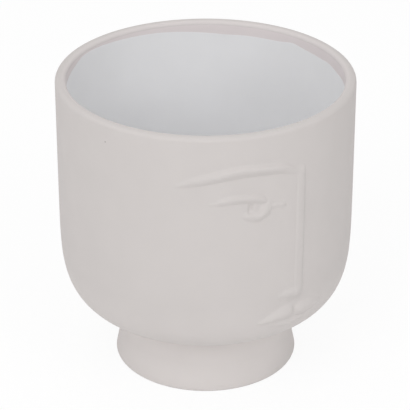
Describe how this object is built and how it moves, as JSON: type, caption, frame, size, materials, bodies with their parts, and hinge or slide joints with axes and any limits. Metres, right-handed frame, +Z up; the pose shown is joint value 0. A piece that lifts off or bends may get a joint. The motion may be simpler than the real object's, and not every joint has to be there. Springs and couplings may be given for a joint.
{
  "type": "cachepot",
  "caption": "Round matte ceramic cachepot with rounded belly, flared foot ring, white glazed inside and a stylised half face in low relief; holds a plant in its nursery pot.",
  "frame": {"origin": "centre of the foot ring's base plane, on the pot's axis", "axes": "+Z up along the pot's axis, the nose line of the relief face looks along -Y and its eye is on the -X side"},
  "size_m": [0.1436, 0.1451, 0.15],
  "materials": {
    "matte_clay": "matte",
    "white_glaze": "satin"
  },
  "bodies": {
    "root": {"bowl": "matte_clay", "foot_ring": "matte_clay", "inner_glaze": "white_glaze", "brow": "matte_clay", "nose": "matte_clay", "upper_eyelid": "matte_clay", "iris": "matte_clay", "tear_duct": "matte_clay", "upper_lip_left": "matte_clay", "upper_lip_right": "matte_clay", "lower_lip": "matte_clay"}
  },
  "joints": []
}
